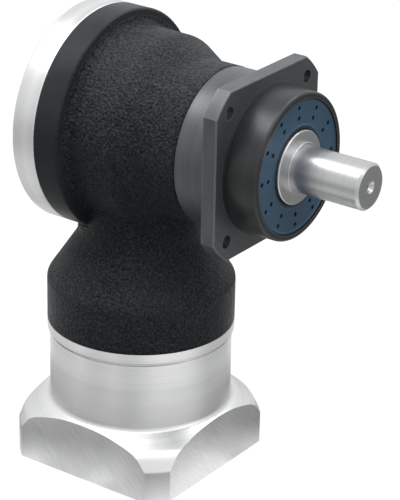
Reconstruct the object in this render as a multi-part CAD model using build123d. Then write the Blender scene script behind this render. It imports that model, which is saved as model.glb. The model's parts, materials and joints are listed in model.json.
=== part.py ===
from build123d import *
import os
from math import acos, cos, floor, log, pi, radians, sin, sqrt, tan

# Right angle planetary gearbox, all sizes in millimetres.
# The input axis is the Z axis: a motor is bolted under the square flange, whose lower face is z = 0.
# The output shaft points along +X at the height axis_height.
# Drive: clamp hub, spiral bevel pinion, spiral bevel crown gear, sun gear, three planets, output shaft.

# Overall places
axis_height = 146.5
adapter_height = 61.4

# Output side
output_flange_width = 70.0
output_flange_thickness = 6.5
output_corner_radius = 43.6
output_bolt_circle = 75.0
output_bolt_hole = 5.5
spigot_diameter = 60.0
spigot_length = 15.0
relief_width = 0.8
relief_depth = 0.5
shaft_diameter = 19.0
shaft_length = 30.5
shaft_step_diameter = 21.0
shaft_step_length = 1.5
collar_proud = 0.5
centre_drill_diameter = 5.2
centre_drill_depth = 9.0
seal_diameter = 55.0
seal_width = 6.7
seal_dimple_rings = (24.2, 20.0)
seal_dimple_count = 12
seal_dimple_radius = 0.9
seal_dimple_depth = 0.6

# Motor side
motor_flange_width = 80.0
motor_corner_radius = 51.5
motor_corner_height = 14.0
motor_flange_height = 24.4
motor_bolt_circle = 90.0
motor_thread_core = 5.0
motor_thread_depth = 13.0
motor_pilot_diameter = 70.0
motor_pilot_depth = 4.0
motor_shaft_diameter = 19.0

# Outer form of the black housing
rear_flange_radius = 46.0
rear_flange_thickness = 11.5
rear_flange_step = 6.3
barrel_wall = 5.7
barrel_front_wall = 3.875
barrel_full_length = 20.5
barrel_taper_length = 13.0
neck_radius = 39.2
neck_full_share = 0.4934
neck_waist_radius = 26.4
neck_waist_below_axis = 47.0
grey_ring_length = 21.7

# Outer form of the adapter
adapter_neck_radius = 38.2
adapter_lip_height = 4.4
adapter_groove_width = 1.4
adapter_groove_depth = 0.9
adapter_wall = 4.7
adapter_web = 8.4

# Bearings as bore, outside diameter and width
output_rear_bearing = (35.0, 55.0, 10.0)
output_front_bearing = (30.0, 47.0, 9.0)
pinion_upper_bearing = (15.0, 32.0, 9.0)
pinion_lower_bearing = (15.0, 35.0, 11.0)
input_seal_diameter = 40.0
crown_front_bearing = (20.0, 37.0, 9.0)
crown_rear_bearing = (15.0, 28.0, 7.0)
bearing_shoulder = 1.5
bearing_land = 2.0
bearing_spacing = 14.0

# Gears
pressure_angle = 20.0
spur_module = 0.9
sun_teeth = 18
planet_teeth = 18
ring_teeth = sun_teeth + 2 * planet_teeth
planet_count = 3
spur_thinning = 0.12
bevel_module = 1.5
bevel_teeth_count = 20
bevel_face_width = 6.5
bevel_thinning = 0.16
spiral_angle = 30.0
bevel_sections = 4
flank_points = 4
ring_gear_wall = 3.1

# Planet carrier
planet_pocket_width = 11.0
carrier_plate = 3.5
carrier_back_plate = 3.2
planet_pin_diameter = 8.0
planet_bushing_wall = 1.45
washer_thickness = 0.6

# Clamp hub
hub_radius = 17.0
hub_boss_radius = 12.5
hub_bottom = 14.0
hub_slit_width = 1.6
hub_slit_overrun = 4.0
clamp_ring_radius = 27.0
clamp_ring_width = 14.0
clamp_ring_room = 4.0
clamp_screw_diameter = 6.0
clamp_screw_offset = 22.0
clamp_screw_seat = 7.5
clamp_screw_length = 20.0
access_hole_radius = 5.5

# Clearances and small features
running_gap = 0.05
side_gap = 0.1
free_gap = 0.5
clip_thickness = 1.5
small_clip_thickness = 1.1
clip_depth = 1.2
screw_diameter = 5.0
cover_screw_count = 6
cover_screw_angle = 0.0
cover_screw_bite = 7.5
adapter_screw_bite = 10.0
edge = 0.5

# Places along the output axis, worked out from the bevel gears outwards
bevel_radius = bevel_module * bevel_teeth_count / 2
cone_angle = 45.0
cone_length = bevel_radius / sin(radians(cone_angle))
bevel_tip_reach = bevel_radius + bevel_module * sin(radians(cone_angle))
cone = radians(cone_angle)
virtual_radius = bevel_radius / cos(cone)
bevel_inner_share = 1 - bevel_face_width / cone_length
bevel_mean_share = 1 - bevel_face_width / cone_length / 2
bevel_drop = 1.25 * bevel_module * sin(cone)
bevel_floor = bevel_inner_share * (bevel_radius + bevel_drop) - 0.08 * bevel_module
wall_back = bevel_tip_reach + 1.34
crown_bearing_back = wall_back + 0.3
crown_bearing_front = crown_bearing_back + crown_front_bearing[2]
wall_front = crown_bearing_front + 1.0
carrier_back = wall_front + free_gap
pocket_back = carrier_back + carrier_back_plate
pocket_front = pocket_back + planet_pocket_width
carrier_front = pocket_front + carrier_plate
rear_bearing_back = carrier_front + free_gap
rear_bearing_front = rear_bearing_back + output_rear_bearing[2]
front_bearing_back = rear_bearing_front + bearing_shoulder
front_bearing_front = front_bearing_back + output_front_bearing[2]
clip_front = front_bearing_front + clip_thickness
seal_back = clip_front + side_gap
seal_front = seal_back + seal_width
spigot_front = seal_front + free_gap
flange_front = spigot_front - spigot_length
flange_back = flange_front - output_flange_thickness
grey_ring_back = flange_front - grey_ring_length
collar_front = spigot_front + collar_proud
shaft_end = collar_front + shaft_step_length + shaft_length

# Places towards the rear cover
crown_hub_back = -(bevel_radius + 4.7)
rear_joint = crown_hub_back + 0.2
crown_rear_bearing_back = crown_hub_back - crown_rear_bearing[2]
crown_clip_back = crown_rear_bearing_back - small_clip_thickness
crown_shaft_end = crown_clip_back - 0.5
cover_back = crown_shaft_end - 0.3 - 1.9
rear_flange_front = rear_joint + rear_flange_thickness
cover_pilot_front = rear_joint + 2.6

# Places down the input axis
pinion_back = axis_height - bevel_radius - 4.5
upper_bearing_top = pinion_back - free_gap
upper_bearing_bottom = upper_bearing_top - pinion_upper_bearing[2]
lower_bearing_top = upper_bearing_bottom - bearing_spacing
lower_bearing_bottom = lower_bearing_top - pinion_lower_bearing[2]
input_clip_bottom = lower_bearing_bottom - clip_thickness
input_seal_top = input_clip_bottom - free_gap
input_seal_bottom = input_seal_top - 7.0
hub_socket_depth = 21.0
pinion_shaft_bottom = lower_bearing_bottom - hub_socket_depth
hub_socket_bottom = pinion_shaft_bottom - free_gap
clamp_ring_top = adapter_height - adapter_web - screw_diameter - clamp_ring_room
clamp_ring_bottom = clamp_ring_top - clamp_ring_width
hub_bore_top = clamp_ring_top + (hub_socket_bottom - clamp_ring_top) * 2 / 3
hub_step_top = clamp_ring_top + 0.557 * (input_seal_bottom - clamp_ring_top)

# Sizes that several pieces share
ring_pitch_radius = spur_module * ring_teeth / 2
planet_pin_length = carrier_front - carrier_back - edge
planet_orbit_radius = spur_module * (sun_teeth + planet_teeth) / 2
carrier_radius = ring_pitch_radius - spur_module - 0.6
ring_gear_radius = ring_pitch_radius + 1.25 * spur_module + ring_gear_wall
barrel_radius = rear_flange_radius - rear_flange_step
barrel_front_radius = ring_gear_radius + barrel_front_wall
hub_cavity_radius = input_seal_diameter / 2 + 2.5
cavity_radius = barrel_radius - barrel_wall
adapter_cavity_radius = adapter_neck_radius - adapter_wall
adapter_screw_circle = 28.5
cover_screw_circle = (rear_flange_radius + cavity_radius) / 2

OUTPUT_AXIS = Axis((0, 0, axis_height), (1, 0, 0))
OUTPUT_PLANE = Plane(origin=(0, 0, axis_height), x_dir=(1, 0, 0), z_dir=(0, -1, 0))


def rounded_face(points):
    """A flat face through the points (a, b), where a third number rounds that corner."""
    corners = [Vector(p[0], p[1]) for p in points]
    starts, ends, curves = [], [], []
    for i, point in enumerate(points):
        corner = corners[i]
        back = (corners[i - 1] - corner).normalized()
        ahead = (corners[(i + 1) % len(points)] - corner).normalized()
        radius = point[2] if len(point) > 2 else 0
        half = radians(back.get_angle(ahead)) / 2
        cut = radius / tan(half) if radius else 0
        starts.append(corner + back * cut)
        ends.append(corner + ahead * cut)
        if radius:
            middle = corner + (back + ahead).normalized() * (radius / sin(half) - radius)
            curves.append(ThreePointArc(starts[i], middle, ends[i]))
    for i in range(len(points)):
        if (starts[i] - ends[i - 1]).length > 0.001:
            curves.append(Line(ends[i - 1], starts[i]))
    return make_face(curves)


def turned_z(points):
    """A turned piece about the input axis, from (radius, z) points."""
    return revolve(Plane.XZ * rounded_face(points), axis=Axis.Z)


def turned_x(points):
    """A turned piece about the output axis, from (x, radius) points."""
    return revolve(OUTPUT_PLANE * rounded_face(points), axis=OUTPUT_AXIS)


def ring_z(inner, outer, bottom, top, chamfer_size=0.0):
    points = [(inner, bottom), (outer, bottom), (outer, top), (inner, top)]
    ring = turned_z(points)
    return chamfer(ring.edges().filter_by(GeomType.CIRCLE), chamfer_size) if chamfer_size else ring


def ring_x(inner, outer, back, front, chamfer_size=0.0):
    ring = turned_x([(back, inner), (front, inner), (front, outer), (back, outer)])
    return chamfer(ring.edges().filter_by(GeomType.CIRCLE), chamfer_size) if chamfer_size else ring


def rod(start, direction, radius, length):
    """A round bar from start, along direction."""
    place = Plane(origin=start, z_dir=direction)
    return place * Cylinder(radius, length, align=(Align.CENTER, Align.CENTER, Align.MIN))


def around_x(count, radius, first=0.0):
    """Points (y, z) evenly spaced on a circle about the output axis."""
    angles = [radians(first + i * 360 / count) for i in range(count)]
    return [(radius * cos(a), axis_height + radius * sin(a)) for a in angles]


def around_z(count, radius, first=0.0):
    """Points (x, y) evenly spaced on a circle about the input axis."""
    angles = [radians(first + i * 360 / count) for i in range(count)]
    return [(radius * cos(a), radius * sin(a)) for a in angles]


def cap_screw(seat, direction, diameter, length):
    """A socket head cap screw whose head stands on seat and whose shank runs along direction."""
    head_radius = 0.85 * diameter
    head = Pos(0, 0, -diameter / 2) * Cylinder(head_radius, diameter)
    head = chamfer(head.edges().group_by(Axis.Z)[0], 0.08 * diameter)
    socket = Pos(0, 0, -diameter) * extrude(RegularPolygon(0.46 * diameter, 6), 0.55 * diameter)
    shank = Cylinder(diameter / 2, length, align=(Align.CENTER, Align.CENTER, Align.MIN))
    shank = chamfer(shank.edges().group_by(Axis.Z)[-1], 0.12 * diameter)
    return Plane(origin=seat, z_dir=direction) * (head - socket + shank)


def square_flange(width, corner_radius, thickness):
    """A square plate whose corners are turned to a radius, centred, standing on its local plane."""
    outline = Rectangle(width, width) & Circle(corner_radius)
    return extrude(outline, thickness)


# Bearings, built about the local Z axis with the lower face at zero


def bearing(size):
    """The outer ring, the inner ring and the balls in their cage of one ball bearing."""
    bore, outside, width = size
    section = (outside - bore) / 2
    pitch = (outside + bore) / 4
    ball = 0.29 * section
    land = 0.16 * section
    chamfer_size = 0.06 * section
    groove = Pos(0, 0, width / 2) * Torus(pitch, ball + running_gap)
    outer = Cylinder(outside / 2, width) - Cylinder(pitch + land, width)
    inner = Cylinder(pitch - land, width) - Cylinder(bore / 2, width)
    raise_up = Pos(0, 0, width / 2)
    outer = raise_up * outer
    inner = raise_up * inner
    outer_rims = [e for e in outer.edges().filter_by(GeomType.CIRCLE) if e.radius > outside / 2 - 0.01]
    inner_rims = [e for e in inner.edges().filter_by(GeomType.CIRCLE) if e.radius < bore / 2 + 0.01]
    outer = chamfer(outer_rims, chamfer_size)
    inner = chamfer(inner_rims, chamfer_size)
    count = floor(2 * pi * pitch / (2.7 * ball))
    cage = Cylinder(pitch + 0.07 * section, 2.3 * ball) - Cylinder(pitch - 0.07 * section, 2.3 * ball)
    cage = Pos(0, 0, width / 2) * cage
    balls = []
    for x, y in around_z(count, pitch):
        cage -= rod((0, 0, width / 2), (x, y, 0), ball + side_gap, 2 * pitch)
        balls.append(Pos(x, y, width / 2) * Sphere(ball))
    return outer - groove, inner - groove, Compound(children=[cage] + balls)


def bearing_on_x(size, back):
    place = Plane(origin=(back, 0, axis_height), x_dir=(0, 1, 0), z_dir=(1, 0, 0))
    return [place * piece for piece in bearing(size)]


def bearing_on_z(size, bottom):
    return [Pos(0, 0, bottom) * piece for piece in bearing(size)]


# Gear teeth


def involute(angle):
    return tan(angle) - angle


def half_tooth(radius, pitch_radius, thickness):
    """Half the angle of an involute tooth at a radius, from its thickness at the pitch circle."""
    base = pitch_radius * cos(radians(pressure_angle))
    here = acos(base / radius) if radius > base else 0.0
    return thickness / 2 / pitch_radius + involute(radians(pressure_angle)) - involute(here)


def flank_radii(pitch_radius, root, tip):
    """The root radius and then evenly spaced radii along the involute, up to the tip."""
    start = max(root, pitch_radius * cos(radians(pressure_angle)))
    return [root] + [start + (tip - start) * (i + 0.2) / (flank_points - 0.8) for i in range(flank_points)]


def spur_outline(teeth, root, tip, thickness, first_angle):
    """A spur gear's outline with one tooth at first_angle."""
    pitch_radius = spur_module * teeth / 2
    radii = flank_radii(pitch_radius, root, tip)
    points = []
    for tooth in range(teeth):
        centre = first_angle + 2 * pi * tooth / teeth
        rising = [(r, centre - half_tooth(r, pitch_radius, thickness)) for r in radii]
        falling = [(r, centre + half_tooth(r, pitch_radius, thickness)) for r in reversed(radii)]
        points += [(r * cos(a), r * sin(a)) for r, a in rising + falling]
    return make_face(Polyline(*points, close=True))


def spur_gear(teeth, width, first_angle):
    """An external spur gear from its local plane upwards."""
    pitch_radius = spur_module * teeth / 2
    thickness = pi * spur_module / 2 - spur_thinning
    root = pitch_radius - 1.25 * spur_module
    tip = pitch_radius + 0.95 * spur_module
    return extrude(spur_outline(teeth, root, tip, thickness, first_angle), width)


def ring_gear_bore(width, first_angle):
    """The shape of the ring gear's toothed bore: its gaps are teeth that point outwards."""
    thickness = pi * spur_module / 2 + spur_thinning
    root = ring_pitch_radius - 0.9 * spur_module
    tip = ring_pitch_radius + 1.25 * spur_module
    return extrude(spur_outline(ring_teeth, root, tip, thickness, first_angle), width)


def flat_face(*corners):
    return Face(Wire.make_polygon(corners, close=True))


def bevel_corner(share, virtual, angle):
    """A point of a bevel tooth: share is its part of the full cone length, and virtual is its
    radius on the flat gear that the back cone unrolls to."""
    radius = share * virtual * cos(cone)
    height = share * (bevel_radius / tan(cone) - (virtual - virtual_radius) * sin(cone))
    turn = angle + tan(radians(spiral_angle)) / sin(cone) * log(share / bevel_mean_share)
    return Vector(radius * cos(turn), radius * sin(turn), height)


def bevel_tooth():
    """One spiral tooth as a closed solid of flat facets, with its foot inside the gear's body."""
    thickness = pi * bevel_module / 2 - bevel_thinning
    root = virtual_radius - 1.25 * bevel_module
    tip = virtual_radius + bevel_module
    radii = flank_radii(virtual_radius, root, tip)
    levels = [(v, half_tooth(v, virtual_radius, thickness) / cos(cone)) for v in radii]
    levels = [(root - 0.5 * bevel_module, levels[0][1])] + levels
    outline = [(v, -a) for v, a in levels] + [(v, a) for v, a in reversed(levels)]
    shares = [bevel_inner_share ** (1 - i / bevel_sections) for i in range(bevel_sections + 1)]
    rows = [[bevel_corner(share, v, a) for v, a in outline] for share in shares]
    count = len(outline)
    faces = []
    for low, high in zip(rows, rows[1:]):
        for i in range(count):
            j = (i + 1) % count
            faces.append(flat_face(low[i], low[j], high[j]))
            faces.append(flat_face(low[i], high[j], high[i]))
    for row in (rows[0], rows[-1]):
        for k in range(len(levels) - 1):
            faces.append(flat_face(row[k], row[k + 1], row[count - 2 - k], row[count - 1 - k]))
    return Solid(Shell(faces))


def bevel_gear(hand, first_angle, back, bore):
    """A spiral bevel gear with its cone point at the origin and its back at the height back."""
    heel_radius = bevel_radius - 2 * bevel_drop
    over = 0.08 * bevel_module
    toe = bevel_inner_share * (bevel_radius - bevel_drop)
    body = turned_z([
        (bore, bevel_floor), (toe - over, bevel_floor),
        (bevel_radius - bevel_drop + over, bevel_radius + bevel_drop + over),
        (heel_radius + over, bevel_radius + 2 * bevel_drop + over), (heel_radius + over, back), (bore, back),
    ])
    tooth = bevel_tooth()
    step = 360 / bevel_teeth_count
    gear = body + [Rot(0, 0, first_angle + i * step) * tooth for i in range(bevel_teeth_count)]
    return mirror(gear, about=Plane.XZ) if hand == "left" else gear


# Housing pieces


def angle_housing():
    """The black casting: a barrel on the output axis and a neck down to the adapter."""
    taper_start = rear_flange_front + barrel_full_length
    taper_end = taper_start + barrel_taper_length
    barrel = turned_x([
        (rear_joint, 0), (rear_joint, rear_flange_radius, edge),
        (rear_flange_front, rear_flange_radius, 2 * edge),
        (rear_flange_front, barrel_radius, 2.5),
        (taper_start, barrel_radius - 0.4, 6.0), (taper_end, barrel_front_radius, 6.0),
        (grey_ring_back, barrel_front_radius, edge), (grey_ring_back, 0),
    ])
    waist = axis_height - neck_waist_below_axis
    neck = turned_z([
        (0, adapter_height), (neck_radius, adapter_height, edge),
        (neck_radius, adapter_height + neck_full_share * (waist - adapter_height), 4.0),
        (neck_waist_radius, waist, 9.0), (neck_waist_radius, axis_height - 12), (0, axis_height - 12),
    ])
    under_cover = ring_x(0, rear_flange_radius + free_gap, cover_back - 2 * neck_radius, rear_joint)
    outside = barrel + (neck - under_cover)
    cavity = turned_x([
        (rear_joint, 0), (rear_joint, cavity_radius), (bevel_radius - 9, cavity_radius, 4.0),
        (wall_back, barrel_front_radius - 3.4, 2.0), (wall_back, 0),
    ])
    upper_bore = pinion_upper_bearing[1] / 2
    boss_radius = upper_bore + 2.6
    boss = turned_z([
        (0, axis_height - cavity_radius - 4), (boss_radius, axis_height - cavity_radius - 4),
        (boss_radius, upper_bearing_top, 0.8), (0, upper_bearing_top),
    ])
    cover_room = turned_x([
        (rear_joint, 0), (rear_joint, cavity_radius), (cover_pilot_front + 0.3, cavity_radius),
        (cover_pilot_front + 0.3, 0),
    ])
    cavity = cavity - boss + cover_room
    lower_bore = pinion_lower_bearing[1] / 2
    seal_bore = input_seal_diameter / 2
    input_bore = turned_z([
        (0, adapter_height), (hub_cavity_radius, adapter_height),
        (hub_cavity_radius, input_seal_bottom - 1), (seal_bore, input_seal_bottom - 1),
        (seal_bore, input_seal_top), (lower_bore, input_seal_top),
        (lower_bore, input_clip_bottom), (lower_bore + clip_depth, input_clip_bottom),
        (lower_bore + clip_depth, lower_bearing_bottom), (lower_bore, lower_bearing_bottom),
        (lower_bore, lower_bearing_top), (upper_bore - bearing_shoulder, lower_bearing_top),
        (upper_bore - bearing_shoulder, upper_bearing_bottom), (upper_bore, upper_bearing_bottom),
        (upper_bore, upper_bearing_top), (0, upper_bearing_top),
    ])
    crown_bore = crown_front_bearing[1] / 2
    output_bore = turned_x([
        (wall_back, 0), (wall_back, crown_bore), (crown_bearing_front, crown_bore),
        (crown_bearing_front, crown_bore - bearing_shoulder), (wall_front, crown_bore - bearing_shoulder),
        (wall_front, carrier_radius + 2.5), (pocket_back, carrier_radius + 2.5),
        (pocket_back, ring_gear_radius), (grey_ring_back, ring_gear_radius), (grey_ring_back, 0),
    ])
    housing = outside - cavity - input_bore - output_bore
    for x, y in around_z(4, adapter_screw_circle, 45):
        housing -= rod((x, y, adapter_height), (0, 0, 1), screw_diameter / 2, adapter_screw_bite + 2)
    for y, z in around_x(cover_screw_count, cover_screw_circle, cover_screw_angle):
        housing -= rod((rear_joint, y, z), (1, 0, 0), screw_diameter / 2, cover_screw_bite + 1)
    pilot = ring_z(0, hub_cavity_radius + 2.5, adapter_height, adapter_height + 3.5)
    return housing - pilot


def rear_cover():
    """The bright round cover that carries the crown shaft's rear bearing."""
    seat = crown_rear_bearing[1] / 2
    pilot_inner = cavity_radius - 6
    hub = seat + (pilot_inner - seat) / 3
    recess = seat + (pilot_inner - seat) * 6 / 7
    cover = turned_x([
        (cover_back, 0), (cover_back, rear_flange_radius, 1.0), (rear_joint, rear_flange_radius, 0.3),
        (rear_joint, cavity_radius), (cover_pilot_front, cavity_radius, 0.4),
        (cover_pilot_front, pilot_inner), (rear_joint - 2, recess, 1.0), (rear_joint - 2, hub, 1.0),
        (crown_hub_back, hub), (crown_hub_back, seat),
        (crown_rear_bearing_back, seat), (crown_rear_bearing_back, seat - bearing_shoulder),
        (crown_shaft_end - 0.3, seat - bearing_shoulder), (crown_shaft_end - 0.3, 0),
    ])
    cover -= ring_x(cavity_radius - 1.2, cavity_radius, rear_joint + 0.5, rear_joint + 1.9)
    for y, z in around_x(cover_screw_count, cover_screw_circle, cover_screw_angle):
        cover -= rod((cover_back, y, z), (1, 0, 0), 0.55 * screw_diameter, rear_joint - cover_back)
        cover -= rod((cover_back, y, z), (1, 0, 0), 0.92 * screw_diameter, screw_diameter + edge)
    return cover


def rear_cover_screws():
    seat = cover_back + screw_diameter + edge
    length = rear_joint - seat + cover_screw_bite
    places = around_x(cover_screw_count, cover_screw_circle, cover_screw_angle)
    return [cap_screw((seat, y, z), (1, 0, 0), screw_diameter, length) for y, z in places]


def output_housing():
    """The grey housing with the square output flange, the spigot and both output bearing seats."""
    front_seat = output_front_bearing[1] / 2
    rear_seat = output_rear_bearing[1] / 2
    spigot = spigot_diameter / 2
    tube = turned_x([
        (grey_ring_back, ring_gear_radius), (grey_ring_back, barrel_front_radius - 0.2, edge),
        (flange_back - 1.6, barrel_front_radius - 0.2), (flange_back - 1.6, barrel_front_radius - 1.2),
        (flange_back, barrel_front_radius - 1.2), (flange_front, barrel_front_radius - 1.2),
        (flange_front, spigot), (spigot_front, spigot, 1.2),
        (spigot_front, seal_diameter / 2), (seal_back, seal_diameter / 2),
        (seal_back, front_seat), (clip_front, front_seat), (clip_front, front_seat + clip_depth),
        (front_bearing_front, front_seat + clip_depth), (front_bearing_front, front_seat),
        (front_bearing_back, front_seat), (front_bearing_back, front_seat - bearing_shoulder),
        (rear_bearing_front, front_seat - bearing_shoulder), (rear_bearing_front, rear_seat),
        (rear_bearing_back, rear_seat), (rear_bearing_back - free_gap, rear_seat),
        (rear_bearing_back - free_gap, ring_gear_radius),
    ])
    place = Plane(origin=(flange_back, 0, axis_height), x_dir=(0, 1, 0), z_dir=(1, 0, 0))
    flange = place * square_flange(output_flange_width, output_corner_radius, output_flange_thickness)
    flange = chamfer(flange.edges().filter_by(Plane.YZ), 0.4)
    flange -= ring_x(0, spigot - 2, flange_back, flange_front)
    for y, z in around_x(4, output_bolt_circle / 2, 45):
        flange -= rod((flange_back, y, z), (1, 0, 0), output_bolt_hole / 2, output_flange_thickness)
    relief = ring_x(spigot, spigot + relief_width, flange_front - relief_depth, flange_front)
    return tube + flange - relief


def output_seal():
    """The rubber shaft seal: a rim, a flat face with moulded dimples and a lip on the shaft's collar."""
    shaft = output_front_bearing[0] / 2 + running_gap
    outer = seal_diameter / 2
    face = seal_front - 0.4
    seal = turned_x([
        (seal_back, outer), (seal_front, outer, 0.4), (seal_front, outer - 1.0, 0.2),
        (face, outer - 1.4, 0.2), (face, shaft + 2.2, 0.2),
        (seal_front - 0.1, shaft + 1.8, 0.2), (seal_front - 0.1, shaft + 0.9),
        (seal_front - 0.9, shaft), (seal_back + 2.4, shaft), (seal_back + 3.2, shaft + 1.6),
        (seal_back + 1.6, shaft + 3.0), (seal_back + 1.6, outer - 3), (seal_back, outer - 2.0),
    ])
    for radius in seal_dimple_rings:
        for y, z in around_x(seal_dimple_count, radius):
            seal -= rod((face - seal_dimple_depth, y, z), (1, 0, 0), seal_dimple_radius, seal_width)
    return seal


def ring_gear():
    """The ring gear sleeve, which joins the black and the grey housing."""
    length = rear_bearing_back - free_gap - pocket_back
    blank = ring_x(0, ring_gear_radius, pocket_back, pocket_back + length, 0.3)
    place = Plane(origin=(pocket_back, 0, axis_height), x_dir=(0, 1, 0), z_dir=(1, 0, 0))
    return blank - place * ring_gear_bore(length, pi / ring_teeth)


def motor_adapter():
    """The bright adapter: a turned neck on a square motor flange with rounded shoulders."""
    groove_top = adapter_height - adapter_lip_height
    groove_bottom = groove_top - adapter_groove_width
    outside = turned_z([
        (0, 0), (motor_corner_radius, 0), (motor_corner_radius, motor_corner_height, 1.5),
        (motor_corner_radius - 3.0, motor_flange_height - 4.2, 9.0),
        (adapter_neck_radius + 3.5, motor_flange_height, 3.0),
        (adapter_neck_radius, motor_flange_height + 1.5, 2.0),
        (adapter_neck_radius, groove_bottom), (adapter_neck_radius - adapter_groove_depth, groove_bottom),
        (adapter_neck_radius - adapter_groove_depth, groove_top), (neck_radius, groove_top, edge),
        (neck_radius, adapter_height), (0, adapter_height),
    ])
    size = motor_flange_width
    square = Box(size, size, motor_flange_height + 2, align=(Align.CENTER, Align.CENTER, Align.MIN))
    upper = ring_z(0, neck_radius, motor_flange_height + 2, adapter_height)
    body = outside & (square + upper)
    body += ring_z(0, hub_cavity_radius + 2.5, adapter_height, adapter_height + 3.5)
    web_bottom = adapter_height - adapter_web
    body -= turned_z([
        (0, 0), (motor_pilot_diameter / 2 + 0.4, 0), (motor_pilot_diameter / 2, 0.4),
        (motor_pilot_diameter / 2, motor_pilot_depth), (adapter_cavity_radius, motor_pilot_depth),
        (adapter_cavity_radius, web_bottom, 0.5), (hub_cavity_radius, web_bottom),
        (hub_cavity_radius, adapter_height + 3.5), (0, adapter_height + 3.5),
    ])
    body -= seal_groove()
    for x, y in around_z(4, motor_bolt_circle / 2, 45):
        body -= rod((x, y, 0), (0, 0, 1), motor_thread_core / 2, motor_thread_depth)
    for x, y in around_z(4, adapter_screw_circle, 45):
        body -= rod((x, y, web_bottom), (0, 0, 1), 0.55 * screw_diameter, adapter_web)
    return body - access_hole(adapter_cavity_radius)


def access_hole(inner_radius):
    """The bore through the adapter's wall, in line with the clamp screw's head."""
    height = (clamp_ring_bottom + clamp_ring_top) / 2
    start = -sqrt(inner_radius ** 2 - clamp_screw_offset ** 2) + 4
    return rod((start, clamp_screw_offset, height), (-1, 0, 0), access_hole_radius, adapter_neck_radius)


def seal_groove():
    inner = adapter_cavity_radius + 1.2
    return ring_z(inner, inner + 1.8, adapter_height - 1.4, adapter_height)


def access_plug():
    """A plastic plug that closes the access hole."""
    height = (clamp_ring_bottom + clamp_ring_top) / 2
    wall = sqrt(adapter_neck_radius ** 2 - (clamp_screw_offset + access_hole_radius) ** 2)
    plug = rod((-wall + 3.2, clamp_screw_offset, height), (-1, 0, 0), access_hole_radius, 2 * adapter_wall)
    skin = ring_z(0, adapter_neck_radius + 0.3, 0, adapter_height)
    slot = Pos(-adapter_neck_radius + 6, clamp_screw_offset, height) * Box(1.0, 1.2, 7)
    return (plug & skin) - slot


def adapter_screws():
    seat = adapter_height - adapter_web
    places = around_z(4, adapter_screw_circle, 45)
    length = adapter_web + adapter_screw_bite
    return [cap_screw((x, y, seat), (0, 0, 1), screw_diameter, length) for x, y in places]


# Turning pieces


def output_shaft():
    """The output shaft with the planet carrier in one piece."""
    seat = output_rear_bearing[0] / 2
    collar = output_front_bearing[0] / 2
    nose = shaft_diameter / 2
    body = turned_x([
        (carrier_back, 0), (carrier_back, carrier_radius, edge), (carrier_front, carrier_radius, edge),
        (carrier_front, seat + 2.5), (rear_bearing_back, seat + 2.5), (rear_bearing_back, seat),
        (front_bearing_back, seat), (front_bearing_back, collar),
        (front_bearing_front, collar), (front_bearing_front, collar - 0.7), (clip_front, collar - 0.7),
        (clip_front, collar), (collar_front, collar, 0.6), (collar_front, shaft_step_diameter / 2),
        (collar_front + shaft_step_length, shaft_step_diameter / 2, 0.3),
        (collar_front + shaft_step_length, nose), (shaft_end, nose, 0), (shaft_end, 0),
    ])
    body = chamfer(body.edges().group_by(Axis.X)[-1], 1.0)
    sun_room = spur_module * sun_teeth / 2 + spur_module + 0.7
    body -= ring_x(0, sun_room, carrier_back, pocket_front)
    pocket_radius = spur_module * planet_teeth / 2 + spur_module + 0.8
    for y, z in around_x(planet_count, planet_orbit_radius):
        body -= rod((pocket_back, y, z), (1, 0, 0), pocket_radius, planet_pocket_width)
        body -= rod((carrier_back, y, z), (1, 0, 0), planet_pin_diameter / 2, planet_pin_length)
    centre = turned_x([
        (shaft_end, 0), (shaft_end, centre_drill_diameter / 2),
        (shaft_end - 1.8, 0.28 * centre_drill_diameter),
        (shaft_end - centre_drill_depth, 0.28 * centre_drill_diameter),
        (shaft_end - centre_drill_depth - 0.8, 0),
    ])
    return body - centre


def planet_pin(place):
    y, z = place
    pin = rod((carrier_back, y, z), (1, 0, 0), planet_pin_diameter / 2, planet_pin_length)
    return chamfer(pin.edges().filter_by(GeomType.CIRCLE), 0.4)


def planet_washers():
    washers = []
    for y, z in around_x(planet_count, planet_orbit_radius):
        for back in (pocket_back, pocket_front - washer_thickness):
            disc = rod((back, y, z), (1, 0, 0), planet_pin_diameter / 2 + 2.6, washer_thickness)
            washers.append(disc - rod((back, y, z), (1, 0, 0), planet_pin_diameter / 2, washer_thickness))
    return washers


def planet_gear(place):
    y, z = place
    back = pocket_back + washer_thickness + side_gap
    width = planet_pocket_width - 2 * washer_thickness - 2 * side_gap
    bore = planet_pin_diameter / 2 + planet_bushing_wall + running_gap
    gear = spur_gear(planet_teeth, width, pi / planet_teeth) - Cylinder(bore, 3 * width)
    return Plane(origin=(back, y, z), x_dir=(0, 1, 0), z_dir=(1, 0, 0)) * gear


def planet_bushing(place):
    y, z = place
    back = pocket_back + washer_thickness + side_gap
    width = planet_pocket_width - 2 * washer_thickness - 2 * side_gap
    inner = planet_pin_diameter / 2 + running_gap
    sleeve = rod((back, y, z), (1, 0, 0), inner + planet_bushing_wall, width)
    return sleeve - rod((back, y, z), (1, 0, 0), inner, width)


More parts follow.
